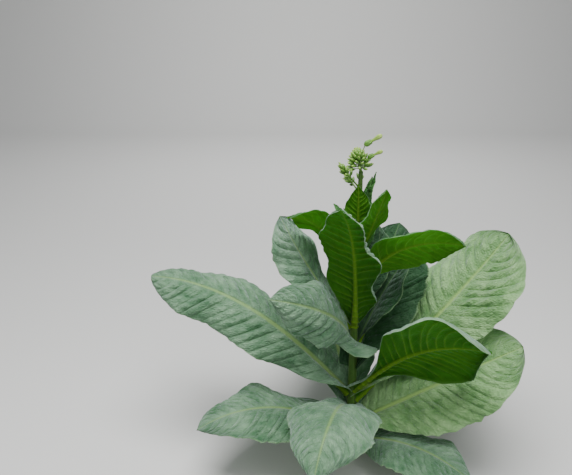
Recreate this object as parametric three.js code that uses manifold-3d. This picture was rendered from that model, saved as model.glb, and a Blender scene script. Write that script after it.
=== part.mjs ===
// A tobacco plant in bud, standing in the ground: one upright stem, large leaves
// set round it in a spiral, and a head of flower buds at the top.
// Millimetres, +Z up. The origin is the middle of the stem's flat cut at ground level.
// The plant is looked at along +Y, so leaves that point to -Y come toward the viewer.

import * as THREE from 'three';
import Module from 'manifold-3d';

const wasm = await Module();
wasm.setup();
const { Manifold } = wasm;

// Driving sizes of the plant.

const CLEAR = 0.3;              // gap between the stem and what grows on it
const MERGE = 0.08;             // slivers thinner than this are merged away after a cut
const STEM_TOP = 905;           // height where the stem passes into the bud head
const STEM_FOOT_RADIUS = 15;
const STEM_TIP_RADIUS = 6;
const STEM_TAPER = 1.15;        // above 1 the stem keeps its girth for longer
const STEM_LEAN = -4;           // sideways shift of the stem's top
const STEM_BOW = -1.8;          // sideways bow at half height
const STEM_BOW_BACK = 0.9;
const FLARE = 6;                // extra radius of the root flare at the ground
const FLARE_HEIGHT = 18;
const STEM_SIDES = 12;
const STEM_RINGS = 26;
const RING_CROWDING = 1.25;     // above 1 the rings lie closer together at the flare

const GOLDEN_TURN = 137.5;      // angle from each leaf to the next one up
const FRONT_LEAF = 11;          // this leaf faces the viewer
const FRONT_ANGLE = 272;
const PHASE_STEP = 2.4;         // the margins' ripple starts elsewhere on each leaf, by this angle
const SINK = 1.5;               // a leaf starts this deep in the stem, before it is cut clear of it
const THICKNESS = 0.0102;       // of a leaf's length
const MIDRIB_HALF = 2.2;        // a leaf is nowhere narrower than its midrib
const LONG_WING = 0.05;         // strip that runs down the whole midrib, of the half width

// The parts of a leaf's length over which each habit of its foot dies away or sets in.
const WING_SPAN = 0.09;
const EAR_PLACE = 0.05;
const EAR_SPAN = 0.13;
const ROLL_SPAN = 0.12;
const CLASP_SPAN = 0.16;
const CURL_SPAN = 0.25;
const RIPPLE_SPAN = 0.2;
const SIDE_SHIFT = 1.3;         // angle by which the ripple of one margin leads the other

const SPINE_STEPS = 48;
const ROW_CROWDING = 1.1;       // above 1 the rows lie closer together at the foot
const GRID_ALONG = 12;
const GRID_ACROSS = 6;
const SMALL_LEAF = 150;         // leaves shorter than this get a coarser grid
const SMALL_ALONG = 8;
const SMALL_ACROSS = 4;

// Each leaf, from the lowest up: its place in the spiral, the height of its base, its own
// turn off the spiral, length, width, how steeply it rises, and how far it sags at the tip.
// The last entry holds what is special about its pose, all in degrees or parts of 1.
const LEAVES = [
  [-2, 38, 30, 430, 220, 30, 50, { fold: 4 }],
  [-1, 61, -34, 580, 290, 32, 48, { fold: 6 }],
  [0, 70, 0, 520, 270, 38, 66, { fold: 6, wing: 0.25 }],
  [1, 94, 8, 570, 300, 37, 1, { fold: 12, curl: 22, roll: 38, shape: [0.95, 0.6] }],
  [2, 120, -14, 580, 310, 45, 62, { fold: 10, wing: 0.25 }],
  [3, 145, 0, 500, 260, 45, 90, { fold: 5, curl: 40 }],
  [4, 175, -17, 690, 350, 45, -8, {
    fold: 14, uneven: 16, curl: 34, curlUneven: 34, roll: 10, shape: [1.7, 0.65],
  }],
  [5, 200, 0, 740, 240, 46, 50, { fold: 0, curl: 50, roll: -25, shape: [0.7, 0.52] }],
  [6, 214, 17, 500, 310, 53, 48, { fold: 10, curl: 24, roll: -58, shape: [3.3, 1.4] }],
  [7, 285, -26, 480, 300, 60, 14, { fold: 12, curl: 30, wing: 0.3, shape: [1, 0.8] }],
  [8, 380, 28, 405, 194, 60, 47, {
    fold: 4, uneven: -8, curl: 60, curlUneven: -7, roll: -62, sweep: -56, late: 1, lobe: 0.85,
    cup: 6, wing: 0.06, shape: [1.3, 1],
  }],
  [9, 362, 21, 320, 180, 68, 20, { fold: 15, curl: 20, shape: [1.7, 1], wing: 0.06 }],
  [10, 428, 30, 395, 196, 52, -12, { fold: 1, curl: 24, roll: -17, wing: 0.05, shape: [1.75, 0.8] }],
  [11, 438, -6, 470, 164, 72, 36, {
    fold: -3, curl: 36, roll: -5, sweep: -30, late: 3.8, wave: 0.12, waves: 2.8, phase: 2.3,
    frill: 0.07, wing: 0.18, shape: [0.7, 0.42],
  }],
  [12, 470, 22, 300, 180, 66, 20, { fold: 15, curl: 20 }],
  [13, 508, -33, 360, 200, 74, 79, {
    fold: 12, curl: 16, roll: 29, sweep: 48, late: 2.8, shape: [1.4, 0.85],
  }],
  [14, 543, 1, 374, 170, 73, 85, {
    fold: 6, roll: -53, sweep: 24, late: 1.12, wing: 0.05, shape: [1.6, 0.84],
  }],
  [15, 575, -20, 240, 130, 64, 40, { fold: 20, curl: 20 }],
  [16, 600, 56, 110, 60, 74, 20, { fold: 16, curl: 16 }],
  [17, 630, 46, 190, 74, 72, 26, { fold: 12, curl: 20 }],
  [18, 647, 2, 172, 80, 76, 25, { fold: 20, curl: 20 }],
  [19, 664, 19, 222, 134, 66, -8, { fold: 10, curl: 10, sweep: 10 }],
  [20, 682, -23, 204, 42, 80, 10, { fold: 20, curl: 10 }],
  [21, 698, -12, 90, 35, 72, 20, { fold: 20, curl: 10 }],
  [22, 706, 34, 198, 34, 80, 4, { fold: 16, curl: 10, wing: 0.04, cup: 35 }],
  [23, 717, 16, 86, 30, 66, 24, { fold: 20, curl: 10, wing: 0.04 }],
  [24, 742, -4, 138, 76, 80, 2, { fold: 6, curl: 10, wing: 0.03, cup: 30, shape: [0.9, 1.25] }],
];

// What a leaf has unless its row says otherwise.
const USUAL_POSE = {
  fold: 15,          // both halves of the blade tilt up from the midrib by this much
  uneven: 0,         // added to the fold on the left half, taken from it on the right
  curl: 30,          // the margins bend back down by this much
  curlUneven: 0,
  roll: 0,           // the whole blade turns about its midrib
  cup: 55,           // extra fold at the base, where the leaf clasps the stem
  sweep: 0,          // the tip swings round the stem by this much
  bend: 1,           // power of the sweep along the leaf
  late: 1.7,         // power of the sag along the leaf
  shape: [1.15, 0.92],   // powers of the outline at the base and at the tip
  wing: 0.15,        // narrow wing along the leaf's foot, of the half width
  lobe: 0,           // broad ear on the left side of the foot
  wave: 0.1,         // ripple of the margins, of the half width
  waves: 2.5,
  frill: 0.03,       // the outline goes in and out with the ripple by this much
};

// The bud head. Each cluster is an axis with buds round it on short stalks.
const BUD_SIDES = 6;
const TWIG_SIDES = 4;
const BUD_STALK = 1.5;          // radius
const BUD_SEAT = 0.2;           // a stalk runs this far up inside its bud, of the bud's length
const BUD_SLENDER = 0.31;       // a bud's width: this part of its length, and its girth
const BUD_GIRTH = 1;

// The outlines of a bud: parts of its length, and of half its width.
const BUD_PROFILE = [[0, 0.14], [0.32, 0.72], [0.82, 0.6], [1, 0]];
const LONG_BUD_PROFILE = [[0, 0.2], [0.14, 0.62], [0.3, 0.58], [0.48, 0.38], [0.8, 0.72], [1, 0]];

// The main head rises from the stem's tip and leans a little to the viewer's left.
const HEAD_REACH = [-8, 0, 34];
const HEAD = {
  count: 52, startAngle: 20, stalk: 5, bare: 0.28, wide: 92, narrow: 6, far: 18, near: 10,
  longest: 21, shortest: 24,
};

// Two buds ahead of the others, on the viewer's right, have grown long and pale.
const LONG_STALK = 1.8;
const LONG_SEAT = 4;
const LONG_BUDS = [
  { root: [-7, 0, 31], foot: [5, -5, 72], azimuth: -6, elevation: 32, length: 54, width: 18 },
  { root: [-5, 0, 22], foot: [15, -11, 40], azimuth: -14, elevation: 28, length: 44, width: 15 },
];

// Side branches below the head: one to the viewer's left, two that the head hides.
// Each has a name, a heading, its height on the stem, its length, its rise and its buds.
const BRANCHES = [
  ['bud_branch_left', 205, 862, 72, 48, 13],
  ['bud_branch_back', 122, 846, 50, 32, 9],
  ['bud_branch_right', 86, 860, 38, 24, 5],
];
const BRANCH = { stalk: 3, bare: 0.5, wide: 46, narrow: 6, far: 6, near: 5, longest: 21, shortest: 23 };
const BRANCH_SINK = 1;

const rad = THREE.MathUtils.degToRad;
const clamp = THREE.MathUtils.clamp;

// Stem.

function stemCentre(z) {
  const t = clamp(z / STEM_TOP, 0, 1.2);
  const bow = Math.sin(Math.PI * t);
  return new THREE.Vector3(STEM_LEAN * t + STEM_BOW * bow, STEM_BOW_BACK * bow, z);
}

function stemRadius(z) {
  const t = clamp(z / STEM_TOP, 0, 1);
  const taper = STEM_FOOT_RADIUS + (STEM_TIP_RADIUS - STEM_FOOT_RADIUS) * t ** STEM_TAPER;
  return taper + FLARE * Math.exp(-z / FLARE_HEIGHT);
}

// A closed skin over rings of points, all with the same count, capped flat at both ends.
function skin(rings) {
  const sides = rings[0].length;
  const points = rings.flat();
  const triangles = [];
  for (let i = 0; i < rings.length - 1; i += 1) {
    for (let j = 0; j < sides; j += 1) {
      const a = i * sides + j;
      const b = i * sides + ((j + 1) % sides);
      triangles.push(a, b, b + sides, a, b + sides, a + sides);
    }
  }
  const last = (rings.length - 1) * sides;
  for (let j = 1; j < sides - 1; j += 1) {
    triangles.push(0, j + 1, j);
    triangles.push(last, last + j, last + j + 1);
  }
  return solid(points, triangles);
}

function solid(points, triangles) {
  const mesh = new wasm.Mesh({
    numProp: 3,
    vertProperties: new Float32Array(points.flatMap((p) => [p.x, p.y, p.z])),
    triVerts: new Uint32Array(triangles),
  });
  return new Manifold(mesh);
}

function stemSolid(extra) {
  const rings = [];
  for (let i = 0; i <= STEM_RINGS; i += 1) {
    const z = STEM_TOP * (i / STEM_RINGS) ** RING_CROWDING;
    const height = extra > 0 && i === STEM_RINGS ? z + extra : z;
    const c = stemCentre(z);
    const r = stemRadius(z) + extra;
    const ring = [];
    for (let j = 0; j < STEM_SIDES; j += 1) {
      const a = (2 * Math.PI * j) / STEM_SIDES;
      ring.push(new THREE.Vector3(c.x + r * Math.cos(a), c.y + r * Math.sin(a), height));
    }
    rings.push(ring);
  }
  return skin(rings);
}

// Leaves. A leaf is a blade round a curved midrib: u runs along it from 0 to 1, and v across
// it from -1 at the right margin to 1 at the left one.

function leafFromRow([place, height, turn, length, width, rise, sag, pose]) {
  const azimuth = FRONT_ANGLE + GOLDEN_TURN * (place - FRONT_LEAF) + turn;
  return { ...USUAL_POSE, height, azimuth, length, width, rise, sag, phase: PHASE_STEP * place, ...pose };
}

// The swing of a margin along the leaf, from -1 to 1.
function swing(leaf, u, side) {
  const turn = 2 * Math.PI * leaf.waves * u + leaf.phase + side * SIDE_SHIFT;
  return Math.sin(turn) * Math.min(1, u / RIPPLE_SPAN);
}

function halfWidth(leaf, u, side) {
  const [p, q] = leaf.shape;
  const peak = p / (p + q);
  const s = (u / peak) ** p * ((1 - u) / (1 - peak)) ** q;
  const half = leaf.width / 2;
  const wing = leaf.wing * Math.exp(-((u / WING_SPAN) ** 2)) + LONG_WING * (1 - u) ** 2;
  const w = Math.max(half * (s + wing * (1 - s)), MIDRIB_HALF);
  const ear = side > 0 ? leaf.lobe * Math.exp(-(((u - EAR_PLACE) / EAR_SPAN) ** 2)) : 0;
  return (w + half * ear * (1 - Math.min(1, w / half))) * (1 + leaf.frill * swing(leaf, u, side));
}

// Points, left-hand directions and upper normals along the midrib.
function spine(leaf) {
  const rows = [];
  const step = leaf.length / SPINE_STEPS;
  let point = null;
  let before = null;
  for (let k = 0; k <= SPINE_STEPS; k += 1) {
    const u = k / SPINE_STEPS;
    const e = rad(leaf.rise - leaf.sag * u ** leaf.late);
    const a = rad(leaf.azimuth + leaf.sweep * u ** leaf.bend);
    const along = new THREE.Vector3(Math.cos(e) * Math.cos(a), Math.cos(e) * Math.sin(a), Math.sin(e));
    if (k === 0) {
      const out = stemRadius(leaf.height) - SINK;
      point = stemCentre(leaf.height).add(new THREE.Vector3(Math.cos(a) * out, Math.sin(a) * out, 0));
    } else {
      point = point.clone().addScaledVector(before, step / 2).addScaledVector(along, step / 2);
    }
    before = along;
    const level = new THREE.Vector3(-Math.sin(a), Math.cos(a), 0);
    const upright = new THREE.Vector3().crossVectors(along, level);
    const roll = rad(leaf.roll) * (1 - Math.exp(-((u / ROLL_SPAN) ** 1.5)));
    const left = level.clone().multiplyScalar(Math.cos(roll)).addScaledVector(upright, Math.sin(roll));
    const up = upright.clone().multiplyScalar(Math.cos(roll)).addScaledVector(level, -Math.sin(roll));
    rows.push({ point, left, up });
  }
  return rows;
}

// The middle surface of the blade at u, v, and its upper normal there.
function blade(leaf, rows, u, v) {
  const x = clamp(u, 0, 1) * SPINE_STEPS;
  const i = Math.min(Math.floor(x), SPINE_STEPS - 1);
  const f = x - i;
  const mix = (key) => rows[i][key].clone().lerp(rows[i + 1][key], f);
  const left = mix('left');
  const up = mix('up');
  const side = v >= 0 ? 1 : -1;
  const reach = Math.abs(v);
  const w = halfWidth(leaf, u, side);
  const clasp = Math.exp(-((u / CLASP_SPAN) ** 1.3));
  const fold = rad(leaf.fold + side * leaf.uneven) * (1 - clasp) + rad(leaf.cup) * clasp;
  const bent = rad(leaf.curl + side * leaf.curlUneven) * Math.min(1, u / CURL_SPAN);
  const curl = Math.abs(bent) < 1e-4 ? 1e-4 : bent;
  const lean = fold - curl * reach;
  const across = (w * (Math.sin(fold) - Math.sin(lean))) / curl;
  const lift = (w * (Math.cos(lean) - Math.cos(fold))) / curl;
  const ripple = leaf.wave * w * reach ** 2 * swing(leaf, u, side);
  const normal = left.clone().multiplyScalar(-Math.sin(lean) * side).addScaledVector(up, Math.cos(lean));
  const point = mix('point')
    .addScaledVector(left, (across - ripple * Math.sin(lean)) * side)
    .addScaledVector(up, lift + ripple * Math.cos(lean));
  return { point, normal };
}

function leafSolid(leaf) {
  const small = leaf.length < SMALL_LEAF;
  const nu = small ? SMALL_ALONG : GRID_ALONG;
  const nv = small ? SMALL_ACROSS : GRID_ACROSS;
  const rows = spine(leaf);
  const half = (leaf.length * THICKNESS) / 2;
  const top = [];
  const bottom = [];
  for (let i = 0; i <= nu; i += 1) {
    for (let j = 0; j <= nv; j += 1) {
      const { point, normal } = blade(leaf, rows, (i / nu) ** ROW_CROWDING, -1 + (2 * j) / nv);
      top.push(point.clone().addScaledVector(normal, half));
      bottom.push(point.clone().addScaledVector(normal, -half));
    }
  }
  const n = top.length;
  const at = (i, j) => i * (nv + 1) + j;
  const triangles = [];
  for (let i = 0; i < nu; i += 1) {
    for (let j = 0; j < nv; j += 1) {
      const [a, b, c, d] = [at(i, j), at(i + 1, j), at(i + 1, j + 1), at(i, j + 1)];
      triangles.push(a, b, c, a, c, d);
      triangles.push(n + a, n + c, n + b, n + a, n + d, n + c);
    }
  }
  const rim = [];
  for (let i = nu; i > 0; i -= 1) rim.push(at(i, 0));
  for (let j = 0; j < nv; j += 1) rim.push(at(0, j));
  for (let i = 0; i < nu; i += 1) rim.push(at(i, nv));
  for (let j = nv; j > 0; j -= 1) rim.push(at(nu, j));
  rim.forEach((a, k) => {
    const b = rim[(k + 1) % rim.length];
    triangles.push(a, n + b, n + a, a, b, n + b);
  });
  return solid([...top, ...bottom], triangles);
}

// Buds and twigs.

// The turn that takes +Z to a direction, together with a move to a point.
function placed(body, point, direction) {
  const turn = new THREE.Quaternion().setFromUnitVectors(new THREE.Vector3(0, 0, 1), direction);
  const matrix = new THREE.Matrix4().compose(point, turn, new THREE.Vector3(1, 1, 1));
  return body.transform(matrix.toArray());
}

function twig(from, to, r0, r1) {
  const way = to.clone().sub(from);
  const body = Manifold.cylinder(way.length(), r0, r1, TWIG_SIDES);
  return placed(body, from, way.normalize());
}

function bud(base, direction, length, width, profile) {
  const outline = profile.map(([h, r]) => [(r * width) / 2, h * length]);
  const body = Manifold.revolve([[[0, 0], ...outline]], BUD_SIDES);
  return placed(body, base, direction);
}

function heading(azimuth, elevation) {
  const a = rad(azimuth);
  const e = rad(elevation);
  return new THREE.Vector3(Math.cos(e) * Math.cos(a), Math.cos(e) * Math.sin(a), Math.sin(e));
}

// A cluster: buds in a spiral up an axis. The lowest stand straight out from it, and those
// above turn more and more along it, so that together they make a dome.
function cluster(from, to, size) {
  const axis = to.clone().sub(from).normalize();
  const aside = new THREE.Vector3(0, 1, 0).cross(axis).normalize();
  const parts = [twig(from, to, size.stalk, size.stalk * 0.5)];
  for (let k = 0; k < size.count; k += 1) {
    const t = (k + 0.5) / size.count;
    const root = from.clone().lerp(to, size.bare + (1 - size.bare) * t);
    const spread = rad(size.wide * (1 - t) + size.narrow * t);
    const way = aside.clone()
      .applyAxisAngle(axis, rad(size.startAngle + GOLDEN_TURN * k))
      .multiplyScalar(Math.sin(spread))
      .addScaledVector(axis, Math.cos(spread));
    const stalk = size.far * (1 - t) + size.near * t;
    const length = size.longest * (1 - t) + size.shortest * t;
    const foot = root.clone().addScaledVector(way, stalk);
    const seat = foot.clone().addScaledVector(way, length * BUD_SEAT);
    parts.push(twig(root, seat, BUD_STALK, BUD_STALK));
    parts.push(bud(foot, way, length, length * BUD_SLENDER + BUD_GIRTH, BUD_PROFILE));
  }
  return parts;
}

function joined(parts) {
  const body = parts.reduce((a, b) => a.add(b));
  const pieces = body.decompose();
  pieces.sort((a, b) => b.volume() - a.volume());
  return pieces[0].simplify(MERGE);
}

// Turning solids into named meshes.

const leafFinish = new THREE.MeshStandardMaterial({ color: 0x5f8a63, roughness: 0.75, metalness: 0 });
const stemFinish = new THREE.MeshStandardMaterial({ color: 0x7f9a4e, roughness: 0.7, metalness: 0 });
const budFinish = new THREE.MeshStandardMaterial({ color: 0x9cb65a, roughness: 0.6, metalness: 0 });

function named(name, body, finish) {
  const mesh = body.getMesh();
  const geometry = new THREE.BufferGeometry();
  geometry.setAttribute('position', new THREE.BufferAttribute(new Float32Array(mesh.vertProperties), 3));
  geometry.setIndex(new THREE.BufferAttribute(new Uint32Array(mesh.triVerts), 1));
  geometry.computeVertexNormals();
  const out = new THREE.Mesh(geometry, finish.clone());
  out.name = name;
  return out;
}

const group = new THREE.Group();
group.name = 'tobacco_plant';

group.add(named('stem', stemSolid(0), stemFinish));

const keepOut = stemSolid(CLEAR / Math.cos(Math.PI / STEM_SIDES));
LEAVES.forEach((row, k) => {
  const body = leafSolid(leafFromRow(row)).subtract(keepOut);
  const number = String(k + 1).padStart(2, '0');
  group.add(named(`leaf_${number}`, joined([body]), leafFinish));
});

const tip = stemCentre(STEM_TOP);
const fromTip = ([x, y, z]) => tip.clone().add(new THREE.Vector3(x, y, z));
const head = cluster(fromTip([0, 0, CLEAR]), fromTip(HEAD_REACH), HEAD);
for (const { root, foot, azimuth, elevation, length, width } of LONG_BUDS) {
  const base = fromTip(foot);
  const way = heading(azimuth, elevation);
  head.push(twig(fromTip(root), base.clone().addScaledVector(way, LONG_SEAT), LONG_STALK, LONG_STALK));
  head.push(bud(base, way, length, width, LONG_BUD_PROFILE));
}
group.add(named('bud_head', joined([joined(head).subtract(keepOut)]), budFinish));

for (const [name, azimuth, height, length, elevation, count] of BRANCHES) {
  const out = heading(azimuth, 0);
  const from = stemCentre(height).addScaledVector(out, stemRadius(height) - BRANCH_SINK);
  const to = from.clone().addScaledVector(heading(azimuth, elevation), length);
  const parts = cluster(from, to, { ...BRANCH, count, startAngle: azimuth });
  group.add(named(name, joined([joined(parts).subtract(keepOut)]), budFinish));
}

export default group;
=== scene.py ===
# %% [markdown]
# # A tobacco plant in bud
# The plant stands in the ground on one green stem. Large leaves are set round the stem in a
# spiral, and a rounded head of flower buds sits on top. The CAD model gives each part its place
# and its outline. This lesson puts a finer piece in the place of each solid, so everything here
# keeps to the same rule for where a leaf starts, how it rises and how wide it grows.

# %% Load the frame
import math

import bpy
import numpy as np
from mathutils import Matrix, Quaternion, Vector


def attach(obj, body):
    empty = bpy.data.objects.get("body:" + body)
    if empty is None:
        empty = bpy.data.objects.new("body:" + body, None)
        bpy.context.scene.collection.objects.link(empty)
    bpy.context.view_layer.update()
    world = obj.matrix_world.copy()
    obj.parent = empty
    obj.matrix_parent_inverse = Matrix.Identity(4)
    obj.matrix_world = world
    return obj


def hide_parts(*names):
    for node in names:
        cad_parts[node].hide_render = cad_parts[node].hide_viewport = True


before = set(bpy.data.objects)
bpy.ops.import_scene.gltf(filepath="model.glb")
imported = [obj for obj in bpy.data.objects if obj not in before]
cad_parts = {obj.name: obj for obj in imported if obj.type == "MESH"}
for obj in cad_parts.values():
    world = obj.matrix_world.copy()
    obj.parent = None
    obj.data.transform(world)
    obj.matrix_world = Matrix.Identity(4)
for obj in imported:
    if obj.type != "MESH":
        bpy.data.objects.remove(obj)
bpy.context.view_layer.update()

# %% [markdown]
# ## Camera
# The photo is taken at a person's eye height, looking down over the plant. A camera can be aimed
# by a constraint or moved by eye. Here it is placed by its height, its distance and one downward
# tilt, and its lens is worked out from the photo's focal length in pixels. Matching the camera
# first means that every later piece can be compared with the photo.

# %% Place the camera
PHOTO_WIDTH = 572
FOCAL_PIXELS = 600
EYE = (-0.2065, -1.583, 1.30)
TILT_DOWN = 20.3
SENSOR_WIDTH = 36

bpy.ops.object.select_all(action="DESELECT")
bpy.ops.object.camera_add(location=EYE, rotation=(math.radians(90 - TILT_DOWN), 0, 0))
camera = bpy.context.object
camera.name = "camera"
camera.data.sensor_width = SENSOR_WIDTH
camera.data.lens = SENSOR_WIDTH * FOCAL_PIXELS / PHOTO_WIDTH
camera.data.clip_end = 60
bpy.context.scene.camera = camera
print("lens in millimetres:", round(camera.data.lens, 2))

# %% [markdown]
# ## Light and floor
# The photo has the light of a bright overcast sky: it falls from above, upward faces are bright,
# and the inside of the plant is dark. A world of one colour would light the undersides as much as
# the tops. So the world is kept weak, a very large soft lamp stands in for the sky overhead, and
# a second lamp behind the camera's right shoulder opens the shadows a little. The floor could be
# a plain square, but its far edge would cut through the picture. So it is one large sheet that
# curves up behind the plant, and a third lamp, turned away from the plant, keeps its far part
# pale.

# %% Set up the light
WORLD_COLOUR = (0.93, 0.96, 1.0, 1)
WORLD_STRENGTH = 0.35

world = bpy.data.worlds.new("soft_sky")
bpy.context.scene.world = world
world.use_nodes = True
world.node_tree.nodes["Background"].inputs["Color"].default_value = WORLD_COLOUR
world.node_tree.nodes["Background"].inputs["Strength"].default_value = WORLD_STRENGTH


def soft_lamp(name, place, target, size, power):
    """A square lamp that looks at a point."""
    bpy.ops.object.light_add(type="AREA", location=place)
    lamp = bpy.context.object
    lamp.name = name
    lamp.data.size = size
    lamp.data.energy = power
    way = Vector(target) - Vector(place)
    lamp.rotation_euler = way.to_track_quat("-Z", "Y").to_euler()
    return lamp


MIDDLE = (0, 0, 0.5)
soft_lamp("lamp_above", (-0.2, -0.4, 3.5), MIDDLE, size=2.4, power=220)
soft_lamp("lamp_front", (0.6, -2.4, 2.5), MIDDLE, size=2.4, power=40)
soft_lamp("lamp_wall", (0, 3.4, 3.4), (0, 6.6, 0.8), size=2.5, power=130)

# %% Lay the floor
FLOOR_HALF = 16.0
FLOOR_BACK = 7.0
WALL_HEIGHT = 4.0
CORNER_WIDTH = 1.6
CORNER_STEPS = 16
FLOOR_COLOUR = (0.58, 0.58, 0.565, 1)
FLOOR_ROUGHNESS = 0.9

bpy.ops.object.select_all(action="DESELECT")
bpy.ops.mesh.primitive_plane_add(size=2 * FLOOR_HALF, location=(0, FLOOR_BACK - FLOOR_HALF, 0))
floor = bpy.context.object
floor.name = "floor"
bpy.ops.object.mode_set(mode="EDIT")
bpy.ops.mesh.select_mode(type="EDGE")
bpy.ops.mesh.select_all(action="DESELECT")
bpy.ops.object.mode_set(mode="OBJECT")
for edge in floor.data.edges:
    ends = [floor.data.vertices[k].co.y for k in edge.vertices]
    edge.select = min(ends) > FLOOR_HALF * 0.9
bpy.ops.object.mode_set(mode="EDIT")
bpy.ops.mesh.extrude_region_move(TRANSFORM_OT_translate={"value": (0, 0, WALL_HEIGHT)})
bpy.ops.object.mode_set(mode="OBJECT")
corner = floor.modifiers.new("round the corner", "BEVEL")
corner.width = CORNER_WIDTH
corner.segments = CORNER_STEPS
bpy.ops.object.modifier_apply(modifier=corner.name)
bpy.ops.object.shade_smooth()
floor_finish = bpy.data.materials.new("floor_pale")
floor_finish.use_nodes = True
floor_shader = floor_finish.node_tree.nodes["Principled BSDF"]
floor_shader.inputs["Base Color"].default_value = FLOOR_COLOUR
floor_shader.inputs["Roughness"].default_value = FLOOR_ROUGHNESS
floor.data.materials.append(floor_finish)
print("floor faces:", len(floor.data.polygons))

# %% [markdown]
# ## The rule of the plant
# The leaves could be placed by hand, one after the other, but then the fine pieces would drift
# away from the solids. So the sizes below are the CAD source's own, here in metres. A leaf's place
# in the spiral gives its angle round the stem. Its row then says how high it starts, how long and
# wide it is, how steeply it rises and how far it sags, and the last entry holds its own pose.

# %% Stem sizes
STEM_TOP = 0.905
STEM_FOOT_RADIUS = 0.015
STEM_TIP_RADIUS = 0.006
STEM_TAPER = 1.15
STEM_LEAN = -0.004
STEM_BOW = -0.0018
STEM_BOW_BACK = 0.0009
FLARE = 0.006
FLARE_HEIGHT = 0.018


def stem_centre(z):
    """The middle of the stem at a height."""
    t = min(max(z / STEM_TOP, 0), 1.2)
    bow = math.sin(math.pi * t)
    return np.array([STEM_LEAN * t + STEM_BOW * bow, STEM_BOW_BACK * bow, z])


def stem_radius(z):
    """The stem's radius at a height."""
    t = min(max(z / STEM_TOP, 0), 1)
    taper = STEM_FOOT_RADIUS + (STEM_TIP_RADIUS - STEM_FOOT_RADIUS) * t ** STEM_TAPER
    return taper + FLARE * math.exp(-z / FLARE_HEIGHT)


print("stem radius at foot and tip:", round(stem_radius(0), 4), round(stem_radius(STEM_TOP), 4))

# %% Leaf rows
GOLDEN_TURN = 137.5
FRONT_LEAF = 11
FRONT_ANGLE = 272
PHASE_STEP = 2.4

# Place in the spiral, height of the base, own turn, length, width, rise, sag, and the pose.
LEAVES = [
    (-2, 0.038, 30, 0.430, 0.220, 30, 50, dict(fold=4)),
    (-1, 0.061, -34, 0.580, 0.290, 32, 48, dict(fold=6)),
    (0, 0.070, 0, 0.520, 0.270, 38, 66, dict(fold=6, wing=0.25)),
    (1, 0.094, 8, 0.570, 0.300, 37, 1, dict(fold=12, curl=22, roll=38, shape=(0.95, 0.6))),
    (2, 0.120, -14, 0.580, 0.310, 45, 62, dict(fold=10, wing=0.25)),
    (3, 0.145, 0, 0.500, 0.260, 45, 90, dict(fold=5, curl=40)),
    (4, 0.175, -17, 0.690, 0.350, 45, -8, dict(
        fold=14, uneven=16, curl=34, curl_uneven=34, roll=10, shape=(1.7, 0.65),
    )),
    (5, 0.200, 0, 0.740, 0.240, 46, 50, dict(fold=0, curl=50, roll=-25, shape=(0.7, 0.52))),
    (6, 0.214, 17, 0.500, 0.310, 53, 48, dict(fold=10, curl=24, roll=-58, shape=(3.3, 1.4))),
    (7, 0.285, -26, 0.480, 0.300, 60, 14, dict(fold=12, curl=30, wing=0.3, shape=(1.0, 0.8))),
    (8, 0.380, 28, 0.405, 0.194, 60, 47, dict(
        fold=4, uneven=-8, curl=60, curl_uneven=-7, roll=-62, sweep=-56, late=1, lobe=0.85, cup=6,
        wing=0.06, shape=(1.3, 1.0),
    )),
    (9, 0.362, 21, 0.320, 0.180, 68, 20, dict(fold=15, curl=20, shape=(1.7, 1.0), wing=0.06)),
    (10, 0.428, 30, 0.395, 0.196, 52, -12, dict(
        fold=1, curl=24, roll=-17, wing=0.05, shape=(1.75, 0.8),
    )),
    (11, 0.438, -6, 0.470, 0.164, 72, 36, dict(
        fold=-3, curl=36, roll=-5, sweep=-30, late=3.8, wave=0.12, waves=2.8, phase=2.3,
        frill=0.07, wing=0.18, shape=(0.7, 0.42),
    )),
    (12, 0.470, 22, 0.300, 0.180, 66, 20, dict(fold=15, curl=20)),
    (13, 0.508, -33, 0.360, 0.200, 74, 79, dict(
        fold=12, curl=16, roll=29, sweep=48, late=2.8, shape=(1.4, 0.85),
    )),
    (14, 0.543, 1, 0.374, 0.170, 73, 85, dict(
        fold=6, roll=-53, sweep=24, late=1.12, wing=0.05, shape=(1.6, 0.84),
    )),
    (15, 0.575, -20, 0.240, 0.130, 64, 40, dict(fold=20, curl=20)),
    (16, 0.600, 56, 0.110, 0.060, 74, 20, dict(fold=16, curl=16)),
    (17, 0.630, 46, 0.190, 0.074, 72, 26, dict(fold=12, curl=20)),
    (18, 0.647, 2, 0.172, 0.080, 76, 25, dict(fold=20, curl=20)),
    (19, 0.664, 19, 0.222, 0.134, 66, -8, dict(fold=10, curl=10, sweep=10)),
    (20, 0.682, -23, 0.204, 0.042, 80, 10, dict(fold=20, curl=10)),
    (21, 0.698, -12, 0.090, 0.035, 72, 20, dict(fold=20, curl=10)),
    (22, 0.706, 34, 0.198, 0.034, 80, 4, dict(fold=16, curl=10, wing=0.04, cup=35)),
    (23, 0.717, 16, 0.086, 0.030, 66, 24, dict(fold=20, curl=10, wing=0.04)),
    (24, 0.742, -4, 0.138, 0.076, 80, 2, dict(
        fold=6, curl=10, wing=0.03, cup=30, shape=(0.9, 1.25),
    )),
]
# fold and curl bend the blade at the midrib and toward the margin; uneven and curl_uneven are the
# differences between its sides. roll turns it about the midrib, and cup folds its foot. sweep and
# bend turn the midrib sideways, and late holds back its sag. shape sets where the blade is widest,
# wing and lobe widen its foot, and wave, waves, phase and frill ripple its margin.
USUAL_POSE = dict(
    fold=15, uneven=0, curl=30, curl_uneven=0, roll=0, cup=55, sweep=0, bend=1, late=1.7,
    shape=(1.15, 0.92), wing=0.15, lobe=0, wave=0.1, waves=2.5, frill=0.03,
)


def leaf_from_row(row):
    """A row's facts by name."""
    place, height, turn, length, width, rise, sag, pose = row
    azimuth = FRONT_ANGLE + GOLDEN_TURN * (place - FRONT_LEAF) + turn
    facts = dict(place=place, height=height, azimuth=azimuth, length=length, width=width)
    return {**USUAL_POSE, **facts, "rise": rise, "sag": sag, "phase": PHASE_STEP * place, **pose}


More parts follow.
